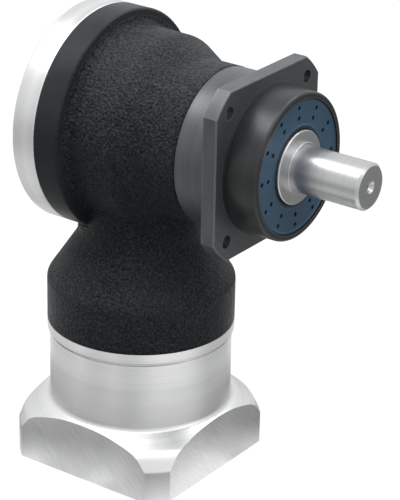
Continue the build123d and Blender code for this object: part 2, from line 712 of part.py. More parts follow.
def sun_shaft():
    """The shaft that carries the crown gear and ends in the sun gear."""
    rear = crown_rear_bearing[0] / 2
    front = crown_front_bearing[0] / 2
    sun_root = spur_module * sun_teeth / 2 - 1.25 * spur_module
    shaft = turned_x([
        (crown_shaft_end, 0), (crown_shaft_end, rear, 0.4), (crown_clip_back, rear),
        (crown_clip_back, rear - 0.5), (crown_rear_bearing_back, rear - 0.5), (crown_rear_bearing_back, rear),
        (-bevel_floor, rear), (-bevel_floor, rear + 0.8), (crown_bearing_back - 2, rear + 0.8, 0.5),
        (crown_bearing_back - 2, front + bearing_shoulder), (crown_bearing_back, front + bearing_shoulder),
        (crown_bearing_back, front), (crown_bearing_front, front, edge),
        (crown_bearing_front, sun_root), (pocket_front - 0.5, sun_root), (pocket_front - 0.5, 0),
    ])
    place = Plane(origin=(pocket_back + side_gap, 0, axis_height), x_dir=(0, 1, 0), z_dir=(1, 0, 0))
    return shaft + place * spur_gear(sun_teeth, planet_pocket_width - 6 * side_gap, 0.0) - crown_key()


def crown_key():
    bottom = crown_rear_bearing[0] / 2 - 2.5
    length = 5.0
    return Pos(crown_hub_back + 0.7 + length / 2, 0, axis_height + bottom + 2) * Box(length, 4, 4)


def crown_gear():
    """The large bevel gear, with a narrow collar that bears on the rear bearing's inner ring alone."""
    place = Plane(origin=(0, 0, axis_height), x_dir=(0, 0, -1), z_dir=(-1, 0, 0))
    bore = crown_rear_bearing[0] / 2
    gear = place * bevel_gear("left", 180 / bevel_teeth_count, -crown_hub_back - free_gap, bore)
    collar = ring_x(bore, bore + bearing_land, crown_hub_back, crown_hub_back + free_gap)
    return gear + collar - crown_key()


def pinion_shaft():
    """The bevel pinion in one piece with its shaft."""
    radius = pinion_upper_bearing[0] / 2
    place = Plane(origin=(0, 0, axis_height), x_dir=(-1, 0, 0), z_dir=(0, 0, -1))
    pinion = place * bevel_gear("right", 0.0, axis_height - pinion_back, 0)
    shaft = turned_z([
        (0, pinion_shaft_bottom), (radius, pinion_shaft_bottom, edge), (radius, upper_bearing_top),
        (radius + bearing_land, upper_bearing_top), (radius + bearing_land, pinion_back), (0, pinion_back),
    ])
    return pinion + shaft


def clamp_hub():
    """The hub that grips the motor shaft: a boss on the pinion shaft and a slit sleeve below it."""
    motor_bore = motor_shaft_diameter / 2
    hub = turned_z([
        (motor_bore + 0.8, hub_bottom), (hub_radius, hub_bottom, edge), (hub_radius, hub_step_top, 1.0),
        (hub_boss_radius, hub_step_top), (hub_boss_radius, lower_bearing_bottom, edge),
        (pinion_lower_bearing[0] / 2, lower_bearing_bottom), (pinion_lower_bearing[0] / 2, hub_socket_bottom),
        (0, hub_socket_bottom), (0, hub_bore_top), (motor_bore, hub_bore_top), (motor_bore, hub_bottom + 0.8),
    ])
    slit_height = clamp_ring_top + hub_slit_overrun - hub_bottom
    for angle in (0, 90):
        slit = Rot(0, 0, angle) * Box(3 * hub_radius, hub_slit_width, slit_height)
        hub -= Pos(0, 0, hub_bottom + slit_height / 2) * slit
    return hub


def clamp_ring():
    """The split ring around the hub, drawn together by one screw."""
    height = (clamp_ring_bottom + clamp_ring_top) / 2
    ring = ring_z(hub_radius, clamp_ring_radius, clamp_ring_bottom, clamp_ring_top, 0.6)
    ring -= Pos(0, clamp_ring_radius, height) * Box(2.0, 2 * clamp_ring_radius - 4, 2 * clamp_ring_width)
    seat = (-clamp_screw_seat, clamp_screw_offset, height)
    bar = rod(seat, (1, 0, 0), clamp_screw_diameter / 2, 2 * clamp_ring_radius)
    counterbore = rod(seat, (-1, 0, 0), clamp_screw_diameter, clamp_ring_radius)
    return ring - bar - counterbore


def clamp_screw():
    height = (clamp_ring_bottom + clamp_ring_top) / 2
    seat = (-clamp_screw_seat, clamp_screw_offset, height)
    return cap_screw(seat, (1, 0, 0), clamp_screw_diameter, clamp_screw_length)


def bearing_spacer():
    inner = pinion_lower_bearing[0] / 2
    return ring_z(inner, inner + 3, lower_bearing_top, upper_bearing_bottom, 0.3)


def input_seal():
    """The lip seal between the housing and the hub's boss."""
    shaft = hub_boss_radius + running_gap
    outer = input_seal_diameter / 2
    return turned_z([
        (outer, input_seal_bottom), (outer, input_seal_top), (outer - 2, input_seal_top),
        (outer - 2, input_seal_bottom + 2), (shaft + 1.6, input_seal_bottom + 2),
        (shaft + 1.6, input_seal_top - 1), (shaft, input_seal_top - 2), (shaft, input_seal_bottom),
    ])


def write(name, shape):
    """Writes one piece, or a list of like pieces, to its own file."""
    shape = Compound(children=shape) if isinstance(shape, list) else shape
    shape.label = name
    export_step(shape, f"parts/{name}.step")


def write_bearing(name, pieces):
    outer, inner, balls = pieces
    write(f"{name}_outer_ring", outer)
    write(f"{name}_inner_ring", inner)
    write(f"{name}_ball_cage", balls)


os.makedirs("parts", exist_ok=True)

write("angle_housing", angle_housing())
write("rear_cover", rear_cover())
write("rear_cover_screws", rear_cover_screws())
write("rear_cover_seal", ring_x(cavity_radius - 1.2, cavity_radius, rear_joint + 0.5, rear_joint + 1.9))
write("output_housing", output_housing())
write("ring_gear", ring_gear())
write("output_seal", output_seal())
write("motor_adapter", motor_adapter())
write("adapter_screws", adapter_screws())
write("adapter_seal", seal_groove())
write("access_plug", access_plug())
write("input_seal", input_seal())

# Retaining rings, each with the gap that its pliers need
front_seat = output_front_bearing[1] / 2
output_clip = ring_x(front_seat - 2.6, front_seat + clip_depth, front_bearing_front, clip_front)
output_gap = Pos(clip_front, 0, axis_height - front_seat) * Box(9, 8, 9)
write("output_retaining_ring", output_clip - output_gap)
input_seat = pinion_lower_bearing[1] / 2
input_clip = ring_z(input_seat - 2.2, input_seat + clip_depth, input_clip_bottom, lower_bearing_bottom)
input_gap = Pos(0, input_seat, input_clip_bottom) * Box(8, 9, 9)
write("input_retaining_ring", input_clip - input_gap)
collar = output_front_bearing[0] / 2
shaft_clip = ring_x(collar - 0.7, collar + 2.2, front_bearing_front, clip_front)
shaft_gap = Pos(clip_front, 0, axis_height + collar) * Box(9, 8, 9)
write("output_shaft_ring", shaft_clip - shaft_gap)
crown_seat = crown_rear_bearing[0] / 2
crown_clip = ring_x(crown_seat - 0.5, crown_seat + 1.8, crown_clip_back, crown_rear_bearing_back)
crown_gap = Pos(crown_clip_back, 0, axis_height + crown_seat) * Box(5, 4, 5)
write("crown_shaft_ring", crown_clip - crown_gap)

write("output_shaft", output_shaft())
write("planet_washers", planet_washers())
for number, place in enumerate(around_x(planet_count, planet_orbit_radius), start=1):
    write(f"planet_pin_{number}", planet_pin(place))
    write(f"planet_gear_{number}", planet_gear(place))
    write(f"planet_bushing_{number}", planet_bushing(place))

write("sun_shaft", sun_shaft())
write("crown_gear", crown_gear())
write("crown_key", crown_key())
write("pinion_shaft", pinion_shaft())
write("bearing_spacer", bearing_spacer())
write("clamp_hub", clamp_hub())
write("clamp_ring", clamp_ring())
write("clamp_screw", clamp_screw())

write_bearing("output_rear_bearing", bearing_on_x(output_rear_bearing, rear_bearing_back))
write_bearing("output_front_bearing", bearing_on_x(output_front_bearing, front_bearing_back))
write_bearing("crown_front_bearing", bearing_on_x(crown_front_bearing, crown_bearing_back))
write_bearing("crown_rear_bearing", bearing_on_x(crown_rear_bearing, crown_rear_bearing_back))
write_bearing("pinion_upper_bearing", bearing_on_z(pinion_upper_bearing, upper_bearing_bottom))
write_bearing("pinion_lower_bearing", bearing_on_z(pinion_lower_bearing, lower_bearing_bottom))

print("flange front", round(flange_front, 2), "spigot front", round(spigot_front, 2))
print("shaft end", round(shaft_end, 2), "cover back", round(cover_back, 2))
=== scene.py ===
# %% [markdown]
# # A right angle planetary gearbox, dressed for its picture
# The shapes of this gearbox come from a CAD model: a bright adapter that bolts to a motor,
# a black casting that turns the drive through a right angle, and a grey output flange with
# a blue shaft seal. Blender's work here is the finish of each metal, rubber and paint, the
# fine detail that a CAD model leaves out, the studio and the camera.
# The CAD model is loaded first and never moved, so everything that follows is placed in
# its frame: metres, with the motor below and the output shaft along +X.

# %% Load the CAD frame
import json
import math

import bpy
from mathutils import Matrix, Vector


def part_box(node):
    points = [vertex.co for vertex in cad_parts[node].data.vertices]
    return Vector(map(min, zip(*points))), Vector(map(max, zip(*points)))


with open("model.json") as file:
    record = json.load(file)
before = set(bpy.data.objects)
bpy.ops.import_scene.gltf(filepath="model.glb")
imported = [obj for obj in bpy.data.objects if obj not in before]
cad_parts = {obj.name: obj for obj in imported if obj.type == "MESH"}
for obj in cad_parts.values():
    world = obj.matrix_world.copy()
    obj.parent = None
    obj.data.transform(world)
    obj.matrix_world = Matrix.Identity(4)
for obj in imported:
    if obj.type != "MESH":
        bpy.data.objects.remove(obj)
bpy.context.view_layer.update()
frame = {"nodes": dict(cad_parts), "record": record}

nodes = frame["nodes"]
slot_of = {part["node"]: part["material_slot"] for part in frame["record"]["subparts"]}
print("CAD nodes", len(nodes), "slots", len(set(slot_of.values())))

# %% [markdown]
# ## Places that the finishes need
# A finish often changes at a place: paint is smooth on a turned rim, and a flat side is
# milled where the rest is turned. Such places could all be typed in, but they belong to the
# CAD model. What the box of a node gives is read from there, so that it follows the model,
# and only the few others are typed in below, each with its name.

# %% Measure the CAD nodes
cover_low, cover_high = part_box("rear_cover")
axis_height = (cover_low.z + cover_high.z) / 2
cover_radius = cover_high.y
half_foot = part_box("motor_adapter")[1].x
seal_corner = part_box("output_seal")[1]
seal_front = seal_corner.x
seal_radius = seal_corner.y
print("output axis", round(axis_height, 4), "m up, rear cover", round(2 * cover_radius, 4), "m wide")
print("adapter", round(2 * half_foot, 4), "m wide, seal", round(2 * seal_radius, 4), "m wide")

# %% [markdown]
# ## The camera
# The photograph was taken from in front and to the right, where the output shaft points, and
# from a little above. The square flanges show almost no convergence, so the lens was long. A
# camera was fitted to the measured outlines, which gave its place, its angles and a focal
# length in pixels. Blender's lens is that length, on a sensor of 36 mm whose longer side
# covers the 500 pixels of the picture's height.

# %% Place the camera
sensor_size = 36
picture_height = 500
farthest_seen = 20


def studio_camera(place, azimuth, elevation, roll, focal_pixels):
    turn, rise, twist = (math.radians(angle) for angle in (azimuth, elevation, roll))
    back = Vector((math.sin(turn) * math.cos(rise), -math.cos(turn) * math.cos(rise), math.sin(rise)))
    right = Vector((math.cos(turn), math.sin(turn), 0))
    up = back.cross(right)
    side = right * math.cos(twist) + up * math.sin(twist)
    top = up * math.cos(twist) - right * math.sin(twist)
    camera = bpy.data.objects.new("studio_camera", bpy.data.cameras.new("studio_camera"))
    camera.matrix_world = Matrix((
        (side.x, top.x, back.x, place[0]),
        (side.y, top.y, back.y, place[1]),
        (side.z, top.z, back.z, place[2]),
        (0, 0, 0, 1),
    ))
    camera.data.sensor_width = sensor_size
    camera.data.lens = sensor_size * focal_pixels / picture_height
    camera.data.clip_end = farthest_seen
    bpy.context.scene.collection.objects.link(camera)
    return camera


camera = studio_camera(
    place=(0.524496, -0.699327, 0.481232), azimuth=35.29, elevation=24.06, roll=1.22, focal_pixels=2312)
bpy.context.scene.camera = camera
bpy.context.scene.view_settings.view_transform = "Standard"
print("lens", round(camera.data.lens, 2), "mm")

# %% [markdown]
# ## Small helpers for shader nodes
# Each finish below is a handful of nodes. Adding one takes three steps: make it, set its
# options, and fill or link its inputs. These helpers do all three in one call, so that a
# finish reads like a recipe. A value that is a socket gets linked, and anything else is
# written into the input.

# %% Node helpers
def place_value(tree, socket, value):
    """Links a socket, or writes a plain value into the input."""
    if isinstance(value, bpy.types.NodeSocket):
        tree.links.new(value, socket)
    else:
        socket.default_value = value


def node(tree, kind, settings=None, **inputs):
    """A new node, with its options set and its inputs filled or linked by name."""
    made = tree.nodes.new(kind)
    for name, value in (settings or {}).items():
        setattr(made, name, value)
    for name, value in inputs.items():
        place_value(tree, made.inputs[name.replace("_", " ")], value)
    return made


def noise(tree, place, **inputs):
    """Noise from 0 to 1 at a place."""
    return node(tree, "ShaderNodeTexNoise", Vector=place, **inputs).outputs[0]


def axes_of(tree, place):
    """The X, Y and Z of a place."""
    return node(tree, "ShaderNodeSeparateXYZ", Vector=place).outputs


print("node helpers ready")

# %% [markdown]
# ## Sums in a shader
# A shader has no written sums: each one is a Math node. Naming the few that come back again
# and again keeps the recipes short. A mask is a number from 0 to 1 over the surface, and
# most of these sums fade, join or turn round such masks.

# %% Sums and masks
def worked_out(tree, operation, *values):
    """The result of one Math node."""
    made = node(tree, "ShaderNodeMath", {"operation": operation})
    for socket, value in zip(made.inputs, values):
        place_value(tree, socket, value)
    return made.outputs[0]


def plus(tree, first, second):
    return worked_out(tree, "ADD", first, second)


def less(tree, first, second):
    return worked_out(tree, "SUBTRACT", first, second)


def times(tree, first, second):
    return worked_out(tree, "MULTIPLY", first, second)


def larger(tree, first, second):
    return worked_out(tree, "MAXIMUM", first, second)


def dimmed(tree, value, mask, share):
    """A value that loses this share of itself where the mask is 1."""
    return times(tree, value, less(tree, 1.0, times(tree, mask, share)))


def step_between(tree, value, start, end):
    """A smooth 0 to 1 as value goes from start to end."""
    made = node(tree, "ShaderNodeMapRange", {"interpolation_type": "SMOOTHSTEP"})
    for name, part in (("Value", value), ("From Min", start), ("From Max", end)):
        place_value(tree, made.inputs[name], part)
    return made.outputs["Result"]


print("sums ready")

# %% [markdown]
# ## Mixing
# One Mix node can mix numbers, directions or colours, and has a pair of inputs and an output
# for each kind. They are counted from the top, and this is the one place that knows the
# count. Most colours here start as a base that is then tinted where a mask says so.

# %% Mixes
mix_places = {"FLOAT": (2, 3, 0), "VECTOR": (4, 5, 1), "RGBA": (6, 7, 2)}


def mixed(tree, kind, share, first, second):
    """Between first, where share is 0, and second, where it is 1."""
    first_place, second_place, result_place = mix_places[kind]
    made = node(tree, "ShaderNodeMix", {"data_type": kind})
    for place, value in ((0, share), (first_place, first), (second_place, second)):
        place_value(tree, made.inputs[place], (*value, 1) if isinstance(value, tuple) else value)
    return made.outputs[result_place]


def tinted(tree, base, mask, share, colour):
    """The base colour, with this share of another where the mask is 1."""
    return mixed(tree, "RGBA", times(tree, mask, share), base, colour)


print("mixes ready")

# %% [markdown]
# ## Shader groups
# An effect that several finishes share is built once, as a group with named inputs and
# outputs, and then placed in each of them with its own values. One helper makes an empty
# group and another places it.

# %% Group helpers
FLOAT, VECTOR = "NodeSocketFloat", "NodeSocketVector"


def new_group(title, inputs, outputs):
    """An empty shader group with named float or vector sockets."""
    group = bpy.data.node_groups.new(title, "ShaderNodeTree")
    for name, kind, start in inputs:
        socket = group.interface.new_socket(name, in_out="INPUT", socket_type=kind)
        socket.default_value = start
    for name, kind in outputs:
        group.interface.new_socket(name, in_out="OUTPUT", socket_type=kind)
    return group, group.nodes.new("NodeGroupInput").outputs, group.nodes.new("NodeGroupOutput").inputs


def use_group(tree, group, **inputs):
    """The outputs of a group placed in a tree."""
    return node(tree, "ShaderNodeGroup", {"node_tree": group}, **inputs).outputs


print("group helpers ready")

# %% [markdown]
# ## Where a point is on the lathe
# Most pieces here are turned, so their marks run round an axis. The marks need to know how
# far a point is from that axis and how far along it. A CAD node's object sits at the
# origin, so its object coordinates are places in the frame, and they stay with the piece
# when it spins. Two groups would do, one for each axis, but one with a switch is less to
# keep right: its second input is 1 for the output axis and 0 for the upright one.

# %% Shader group: turned place
turned_place, given, result = new_group(
    "Turned place",
    [("Point", VECTOR, (0, 0, 0)), ("Along Output Axis", FLOAT, 0.0)],
    [("Radius", FLOAT), ("Along", FLOAT), ("Angle", FLOAT)],
)
tree = turned_place
parts = axes_of(tree, given["Point"])
height = less(tree, parts["Z"], axis_height)
across = mixed(tree, "FLOAT", given["Along Output Axis"], parts["X"], height)
along = mixed(tree, "FLOAT", given["Along Output Axis"], parts["Z"], parts["X"])
squares = plus(tree, times(tree, across, across), times(tree, parts["Y"], parts["Y"]))
place_value(tree, result["Radius"], worked_out(tree, "SQRT", squares))
place_value(tree, result["Along"], along)
place_value(tree, result["Angle"], worked_out(tree, "ARCTAN2", parts["Y"], across))
print("group", turned_place.name)

# %% [markdown]
# ## Tool marks
# A lathe tool leaves a fine spiral. From a distance it reads as thin rings, some a little
# deeper, with broad bands where the speed changed. Noise stretched out round the axis gives
# all of that: the noise sees the radius and the place along the axis at a fine scale and
# the angle at almost none, so each streak runs right round.

# %% Shader group: tool marks
tool_marks, given, result = new_group(
    "Tool marks",
    [("Radius", FLOAT, 0.0), ("Along", FLOAT, 0.0), ("Angle", FLOAT, 0.0), ("Pitch", FLOAT, 0.0004)],
    [("Height", FLOAT), ("Shade", FLOAT)],
)
tree = tool_marks
angle_share, band_height = 0.35, 0.6
ring_shade, band_shade = 0.45, 0.55
fine_radius = worked_out(tree, "DIVIDE", given["Radius"], given["Pitch"])
fine_along = worked_out(tree, "DIVIDE", given["Along"], given["Pitch"])
slow_turn = times(tree, given["Angle"], angle_share)
spot = node(tree, "ShaderNodeCombineXYZ", X=fine_radius, Y=fine_along, Z=slow_turn).outputs[0]
rings = noise(tree, spot, Scale=1.0, Detail=3.0, Roughness=0.6)
bands = noise(tree, spot, Scale=0.07, Detail=2.0, Roughness=0.5)
place_value(tree, result["Height"], plus(tree, rings, times(tree, bands, band_height)))
shade = plus(tree, times(tree, rings, ring_shade), times(tree, bands, band_shade))
place_value(tree, result["Shade"], step_between(tree, shade, start=0.3, end=0.7))
print("group", tool_marks.name)

# %% [markdown]
# ## Cast skin
# Sand casting and thick paint leave a skin like orange peel: soft bumps about a millimetre
# across, with smaller grains on top and here and there a pit. Two noises and a Voronoi
# texture make its height, and a third noise makes patches a few centimetres across. To move
# the mesh itself would take millions of faces, so the height goes to a Bump node, which only
# bends the light. The group also gives masks of the pits, the tips and the patches.

# %% Shader group: cast skin
cast_skin, given, result = new_group(
    "Cast skin",
    [("Point", VECTOR, (0, 0, 0)), ("Grain", FLOAT, 0.0011)],
    [("Height", FLOAT), ("Shaded Pits", FLOAT), ("Glinting Tips", FLOAT), ("Patches", FLOAT)],
)
tree = cast_skin
swell_scale, swell_height = 0.22, 0.7
cell_scale, cell_depth = 0.75, 0.45
fine = worked_out(tree, "DIVIDE", 1.0, given["Grain"])
bumps = noise(tree, given["Point"], Scale=fine, Detail=2.5, Roughness=0.55)
swell = noise(tree, given["Point"], Scale=times(tree, fine, swell_scale), Detail=1.0)
cells = node(tree, "ShaderNodeTexVoronoi", {"feature": "SMOOTH_F1"}, Vector=given["Point"],
             Scale=times(tree, fine, cell_scale), Smoothness=0.6).outputs["Distance"]
height = plus(tree, bumps, times(tree, swell, swell_height))
place_value(tree, result["Height"], less(tree, height, times(tree, cells, cell_depth)))
place_value(tree, result["Shaded Pits"], step_between(tree, bumps, start=0.44, end=0.30))
place_value(tree, result["Glinting Tips"], step_between(tree, bumps, start=0.46, end=0.68))
patches = noise(tree, given["Point"], Scale=28.0, Detail=3.0)
place_value(tree, result["Patches"], step_between(tree, patches, start=0.35, end=0.68))
print("group", cast_skin.name)

# %% [markdown]
# ## Handling marks
# No machine part leaves the store spotless. A soft cloudy mask stands for the thin film of
# oil and the dust in it, and a second one, stretched noise, for fine scratches. Marks painted
# by hand would fit one piece only, and noise fits them all. Every finish below mixes some of
# the clouds in, and the plain metals some of the scratches too, so that no gloss is quite
# even.

# %% Shader group: handling marks
handling, given, result = new_group(
    "Handling marks",
    [("Point", VECTOR, (0, 0, 0))],
    [("Clouds", FLOAT), ("Scratches", FLOAT)],
)
tree = handling
clouds = noise(tree, given["Point"], Scale=45.0, Detail=5.0, Roughness=0.6)
place_value(tree, result["Clouds"], step_between(tree, clouds, start=0.35, end=0.7))
stretched = node(tree, "ShaderNodeMapping", Vector=given["Point"], Rotation=(0.4, 0.9, 0.3),
                 Scale=(2600, 60, 500)).outputs[0]
lines = noise(tree, stretched, Scale=1.0, Detail=2.0)
place_value(tree, result["Scratches"], step_between(tree, lines, start=0.66, end=0.74))
print("group", handling.name)

# %% [markdown]
# ## Edges that catch the light
# A machined edge is never quite sharp: a file breaks it and handling rubs it.
# A bevel modifier would change the CAD mesh, and a Bevel node leaves it alone: it gives the
# normal that a slightly rounded edge would have. Where that differs from the true normal,
# there is an edge, which gives a mask. The finishes tint it lighter, partly as rubbed metal
# and paint and partly as a painted highlight where a rounded edge would catch the light.

# %% Shader group: broken edges
rubbed_and_lit_edges, given, result = new_group(
    "Rubbed and lit edges",
    [("Reach", FLOAT, 0.0006)],
    [("Mask", FLOAT)],
)
tree = rubbed_and_lit_edges
rounded = node(tree, "ShaderNodeBevel", {"samples": 4}, Radius=given["Reach"]).outputs[0]
sharp = node(tree, "ShaderNodeNewGeometry").outputs["Normal"]
likeness = node(tree, "ShaderNodeVectorMath", {"operation": "DOT_PRODUCT"})
tree.links.new(rounded, likeness.inputs[0])
tree.links.new(sharp, likeness.inputs[1])
place_value(tree, result["Mask"], step_between(tree, likeness.outputs["Value"], start=0.995, end=0.86))
print("group", rubbed_and_lit_edges.name)

# %% [markdown]
# ## The start and end of every finish
# A new material holds a Principled shader and the object's coordinates. What is even all
# over, such as how metallic it is, goes straight into the shader. At the end come the
# roughness, which films of oil and dust change a little from place to place, and the bump,
# whose depth is a real height in metres.

# %% New materials
def new_material(title, **even):
    material = bpy.data.materials.new(title)
    material.use_nodes = True
    tree = material.node_tree
    shader = tree.nodes["Principled BSDF"]
    for name, value in even.items():
        shader.inputs[name.replace("_", " ")].default_value = value
    point = node(tree, "ShaderNodeTexCoord").outputs["Object"]
    return material, tree, shader.inputs, point


def finish_with(tree, shader, base, roughness, films):
    """Links the colour, and a roughness that each film, a mask and its share, adds to."""
    tree.links.new(base, shader["Base Color"])
    for mask, share in films:
        roughness = plus(tree, roughness, times(tree, mask, share))
    tree.links.new(roughness, shader["Roughness"])


def bump_into(tree, shader, height, depth, strength=0.8, **more):
    bump = node(tree, "ShaderNodeBump", Height=height, Distance=depth, Strength=strength, **more)
    tree.links.new(bump.outputs[0], shader["Normal"])


def tool_marks_on(tree, turned, pitch):
    """The marks that a tool leaves, one pitch apart, on what was turned."""
    return use_group(tree, tool_marks, Radius=turned["Radius"], Along=turned["Along"],
                     Angle=turned["Angle"], Pitch=pitch)


print("material helpers ready")

# %% [markdown]
# ## Black cast housing: where it is rough
# The casting is painted over its cast skin, but its rear rim was turned before painting, so
# there the paint is smooth. The rim is what lies far back along the output axis and about as
# far from it as the edge of the rear cover. All that is in front of it, nearer the axis, or
# further from it as the neck is, counts as cast.

# %% Material: black casting, its masks
black_casting, tree, shader, point = new_material("black_casting", Metallic=0.0, Specular_IOR_Level=0.08)
turned = use_group(tree, turned_place, Point=point, Along_Output_Axis=1.0)
rim_end, skin_start = -0.0088, -0.0070
rim_corner, barrel_skin = cover_radius - 0.0025, cover_radius - 0.0035
rim_edge, neck_skin = cover_radius + 0.0002, cover_radius + 0.0010
in_front = step_between(tree, turned["Along"], rim_end, skin_start)
nearer = step_between(tree, turned["Radius"], rim_corner, barrel_skin)
further = step_between(tree, turned["Radius"], rim_edge, neck_skin)
is_cast = larger(tree, in_front, larger(tree, nearer, further))
print("rim from radius", round(rim_corner, 4), "to", round(rim_edge, 4))

# %% [markdown]
# ## Black cast housing: its paint
# The paint is a soft black with hardly any shine of its own, which keeps the shadows deep.
# Its pits are darkened almost to black as painted shade, and the tips of its skin are
# lightened as painted highlights where light would glint on them. The corner where the
# barrel meets the neck is sharp in the CAD model and round in a casting, so a wide Bevel
# node bends its normal, everywhere in front of the rim.

# %% Material: black casting, its paint
skin = use_group(tree, cast_skin, Point=point, Grain=0.0009)
marks = use_group(tree, handling, Point=point)
edges = use_group(tree, rubbed_and_lit_edges, Reach=0.0008)
paint = mixed(tree, "RGBA", skin["Patches"], (0.029, 0.033, 0.037), (0.045, 0.050, 0.055))
# Painted shade: the pits of the skin are darkened almost to black.
paint = tinted(tree, paint, skin["Shaded Pits"], share=0.8, colour=(0.004, 0.005, 0.006))
# Painted highlight: the tips of the skin are lightened where light would glint on them.
paint = tinted(tree, paint, skin["Glinting Tips"], share=0.7, colour=(0.105, 0.115, 0.124))
rim_paint = mixed(tree, "RGBA", marks["Clouds"], (0.044, 0.049, 0.054), (0.058, 0.064, 0.069))
base = mixed(tree, "RGBA", is_cast, rim_paint, paint)
# The edges are tinted lighter: partly rubbed paint, partly a painted highlight.
base = tinted(tree, base, edges["Mask"], share=0.35, colour=(0.14, 0.15, 0.155))
finish_with(tree, shader, base, roughness=0.36, films=[(marks["Clouds"], 0.10)])
rounded = node(tree, "ShaderNodeBevel", {"samples": 6}, Radius=0.0028).outputs[0]
sharp = node(tree, "ShaderNodeNewGeometry").outputs["Normal"]
poured = mixed(tree, "VECTOR", in_front, sharp, rounded)
bump_into(tree, shader, times(tree, skin["Height"], is_cast), depth=0.00085, strength=1.0, Normal=poured)
print("material", black_casting.name)

# %% [markdown]
# ## Milled sides
# The foot of the adapter is square, so its four sides were milled and show faint slanting
# lines. The sides could have a material of their own, but then the CAD mesh would need
# marked faces. A mask does it instead: a point is on a side where its X or Y reaches the
# half width of the foot. There, noise stretched along a slanting line takes over from the
# rings.

# %% Milled sides
def milled_side(tree, point, flat_side, rings):
    """The height and shade of the rings, with milling lines in their place on flat sides."""
    parts = axes_of(tree, point)
    reach = larger(tree, worked_out(tree, "ABSOLUTE", parts["X"]), worked_out(tree, "ABSOLUTE", parts["Y"]))
    almost_there, there = flat_side - 0.00006, flat_side - 0.00002
    on_flat = step_between(tree, reach, almost_there, there)
    lines_per_metre, streaks_per_metre = 1500.0, 70.0
    sideways = plus(tree, parts["X"], parts["Y"])
    over_cut = times(tree, plus(tree, sideways, parts["Z"]), lines_per_metre)
    along_cut = times(tree, less(tree, sideways, parts["Z"]), streaks_per_metre)
    cut = node(tree, "ShaderNodeCombineXYZ", X=over_cut, Y=along_cut).outputs[0]
    milled = step_between(tree, noise(tree, cut, Scale=1.0, Detail=3.0), start=0.3, end=0.7)
    return [mixed(tree, "FLOAT", on_flat, rings[name], milled) for name in ("Height", "Shade")]


print("milled sides at", round(half_foot, 4), "m from the middle")

# %% [markdown]
# ## Bright aluminium
# The adapter and the rear cover are turned from aluminium bar. One function makes both
# materials, which differ only in the axis of their rings and in the milled sides. The rings
# change the colour, the roughness and, by a hundredth of a millimetre, the height, because
# metal that is even all over looks unreal.

# %% Material: turned aluminium, for both axes
def turned_aluminium(title, on_output_axis, flat_side=None):
    material, tree, shader, point = new_material(title, Metallic=1.0)
    turned = use_group(tree, turned_place, Point=point, Along_Output_Axis=on_output_axis)
    rings = tool_marks_on(tree, turned, pitch=0.00035)
    marks = use_group(tree, handling, Point=point)
    edges = use_group(tree, rubbed_and_lit_edges, Reach=0.0005)
    height, shade = rings["Height"], rings["Shade"]
    if flat_side:
        height, shade = milled_side(tree, point, flat_side, rings)
    base = mixed(tree, "RGBA", shade, (0.62, 0.625, 0.63), (0.73, 0.733, 0.737))
    # The edges are tinted near white: partly rubbed metal, partly a painted highlight.
    base = tinted(tree, base, edges["Mask"], share=0.6, colour=(0.94, 0.94, 0.94))
    finish_with(tree, shader, base, roughness=0.33, films=[(marks["Clouds"], 0.07), (shade, 0.06)])
    bump_into(tree, shader, height, depth=0.000012, strength=0.9)
    return material


cover_aluminium = turned_aluminium("cover_aluminium", on_output_axis=1.0)
adapter_aluminium = turned_aluminium("adapter_aluminium", on_output_axis=0.0, flat_side=half_foot)
print("materials", cover_aluminium.name, adapter_aluminium.name)

# %% [markdown]
# ## Grey output housing
# The output housing is steel with a dark grey satin treatment. Bare steel would mirror too
# much and grey paint too little, so the shader is half metallic. Its tool marks still show
# through. The treatment is darker and a little smoother on the spigot, which a mask of the
# place along the axis picks out. Every broken edge gets a thin light line, partly rubbed
# steel and partly a painted highlight.

# %% Material: grey treated steel
grey_steel, tree, shader, point = new_material("grey_steel", Metallic=0.5)
turned = use_group(tree, turned_place, Point=point, Along_Output_Axis=1.0)
rings = tool_marks_on(tree, turned, pitch=0.0003)
marks = use_group(tree, handling, Point=point)
edges = use_group(tree, rubbed_and_lit_edges, Reach=0.0005)
flange_front, spigot_start = 0.0611, 0.0616
on_spigot = step_between(tree, turned["Along"], flange_front, spigot_start)
body = mixed(tree, "RGBA", rings["Shade"], (0.095, 0.103, 0.110), (0.128, 0.138, 0.145))
spigot = mixed(tree, "RGBA", rings["Shade"], (0.032, 0.0335, 0.035), (0.050, 0.052, 0.054))
base = mixed(tree, "RGBA", on_spigot, body, spigot)
# A thin light line on the edges: partly rubbed steel, partly a painted highlight.
base = tinted(tree, base, edges["Mask"], share=0.5, colour=(0.55, 0.56, 0.57))
finish_with(tree, shader, base, roughness=0.40, films=[(on_spigot, -0.06), (marks["Clouds"], 0.08)])
bump_into(tree, shader, rings["Height"], depth=0.000010)
print("material", grey_steel.name)

# %% [markdown]
# ## Blue seal
# The shaft seal is a moulded blue rubber. It is satin rather than matt, with a very fine
# leather-like grain from the mould and a little grey dust. Its dimples are painted nearly
# black as painted shade in the hollows, and its rim and its lip are darker. A mask finds the
# dimples as what lies below the face, and the rim and the lip by their distance from the
# shaft's axis.

